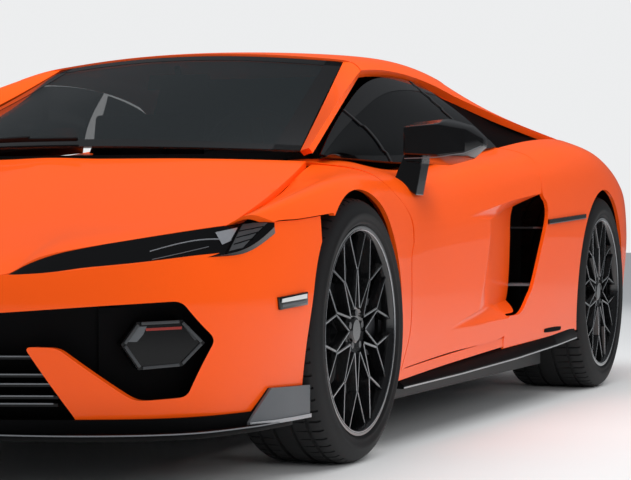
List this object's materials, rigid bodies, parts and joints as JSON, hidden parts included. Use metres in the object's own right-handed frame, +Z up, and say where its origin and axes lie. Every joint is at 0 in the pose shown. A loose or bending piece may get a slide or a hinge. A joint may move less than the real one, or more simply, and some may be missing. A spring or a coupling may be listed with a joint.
{
  "type": "mid-engined supercar",
  "caption": "Low mid-engined two-seat coupe with turning and steering wheels, opening doors and front and rear lids.",
  "frame": {"origin": "on the ground below the centre of the body's box", "axes": "+X to the car's left, +Y to its tail, so the nose points to -Y, +Z up"},
  "size_m": [2.246, 4.7064, 1.2003],
  "materials": {
    "paint": "gloss orange paint",
    "gloss_black": "gloss black",
    "black_plastic": "satin black moulding",
    "glass": "tinted glass",
    "lamp_glass": "dark clear lens",
    "tail_lens": "red lens",
    "chassis": "satin carbon composite",
    "exhaust": "heat-tinted steel",
    "seat_leather": "fine-grained leather",
    "trim": "soft-touch trim",
    "engine": "cast",
    "alloy": "forged",
    "tyre": "moulded rubber",
    "rim_black": "gloss black, machined edges",
    "disc": "ground friction face"
  },
  "bodies": {
    "body": {"chassis_tub": "chassis", "front_bumper": "paint", "front_splitter": "gloss_black", "front_grille": "black_plastic", "corner_lamps": "lamp_glass", "headlamps": "lamp_glass", "fender_left": "paint", "fender_right": "paint", "windscreen": "glass", "roof_shell": "paint", "quarter_left": "paint", "quarter_right": "paint", "side_skirts": "gloss_black", "side_intakes": "black_plastic", "rear_window": "glass", "rear_bumper": "black_plastic", "rear_diffuser": "gloss_black", "tail_lamps": "tail_lens", "exhaust_pipes": "exhaust", "seats": "seat_leather", "dashboard": "trim", "engine_block": "engine", "front_arms": "alloy", "rear_arms": "alloy", "rear_uprights": "alloy"},
    "door_left": {"door_panel_left": "paint", "door_glass_left": "glass", "door_mirror_left": "gloss_black"},
    "door_right": {"door_panel_right": "paint", "door_glass_right": "glass", "door_mirror_right": "gloss_black"},
    "front_lid": {"front_lid": "paint"},
    "engine_lid": {"engine_lid": "paint"},
    "steering_wheel": {"steering_wheel": "seat_leather"},
    "knuckle_left": {"knuckle_left": "alloy"},
    "knuckle_right": {"knuckle_right": "alloy"},
    "wheel_front_left": {"tyre_front_left": "tyre", "rim_front_left": "rim_black", "disc_front_left": "disc"},
    "wheel_front_right": {"tyre_front_right": "tyre", "rim_front_right": "rim_black", "disc_front_right": "disc"},
    "wheel_rear_left": {"tyre_rear_left": "tyre", "rim_rear_left": "rim_black", "disc_rear_left": "disc"},
    "wheel_rear_right": {"tyre_rear_right": "tyre", "rim_rear_right": "rim_black", "disc_rear_right": "disc"}
  },
  "joints": [
    {"name": "door_left_hinge", "type": "hinge", "parent": "body", "child": "door_left", "pos_m": [0.952, -1.01, 0.5], "axis": [0, 0, -1], "range_deg": [0, 60]},
    {"name": "door_right_hinge", "type": "hinge", "parent": "body", "child": "door_right", "pos_m": [-0.952, -1.01, 0.5], "axis": [0, 0, 1], "range_deg": [0, 60]},
    {"name": "front_lid_hinge", "type": "hinge", "parent": "body", "child": "front_lid", "pos_m": [0, -1.02, 0.8], "axis": [-1, 0, 0], "range_deg": [0, 50]},
    {"name": "engine_lid_hinge", "type": "hinge", "parent": "body", "child": "engine_lid", "pos_m": [0, 0.706, 1.172], "axis": [1, 0, 0], "range_deg": [0, 50]},
    {"name": "steer_left", "type": "hinge", "parent": "body", "child": "knuckle_left", "pos_m": [0.846, -1.278, 0.343], "axis": [0, 0, 1], "range_deg": [-30, 30]},
    {"name": "steer_right", "type": "hinge", "parent": "body", "child": "knuckle_right", "pos_m": [-0.846, -1.278, 0.343], "axis": [0, 0, 1], "range_deg": [-30, 30]},
    {"name": "steering_wheel_turn", "type": "hinge", "parent": "body", "child": "steering_wheel", "pos_m": [0.37, -0.5, 0.79], "axis": [0, 0.9272, 0.3746], "range_deg": [-450, 450]},
    {"name": "wheel_front_left_spin", "type": "hinge", "parent": "knuckle_left", "child": "wheel_front_left", "pos_m": [0.861, -1.278, 0.343], "axis": [1, 0, 0], "continuous": true},
    {"name": "wheel_rear_left_spin", "type": "hinge", "parent": "body", "child": "wheel_rear_left", "pos_m": [0.835, 1.38, 0.364], "axis": [1, 0, 0], "continuous": true},
    {"name": "wheel_front_right_spin", "type": "hinge", "parent": "knuckle_right", "child": "wheel_front_right", "pos_m": [-0.861, -1.278, 0.343], "axis": [1, 0, 0], "continuous": true},
    {"name": "wheel_rear_right_spin", "type": "hinge", "parent": "body", "child": "wheel_rear_right", "pos_m": [-0.835, 1.38, 0.364], "axis": [1, 0, 0], "continuous": true}
  ],
  "couplings": [
    {"joint": "steer_right", "follows": "steer_left", "ratio": 1},
    {"joint": "steering_wheel_turn", "follows": "steer_left", "ratio": 15}
  ]
}
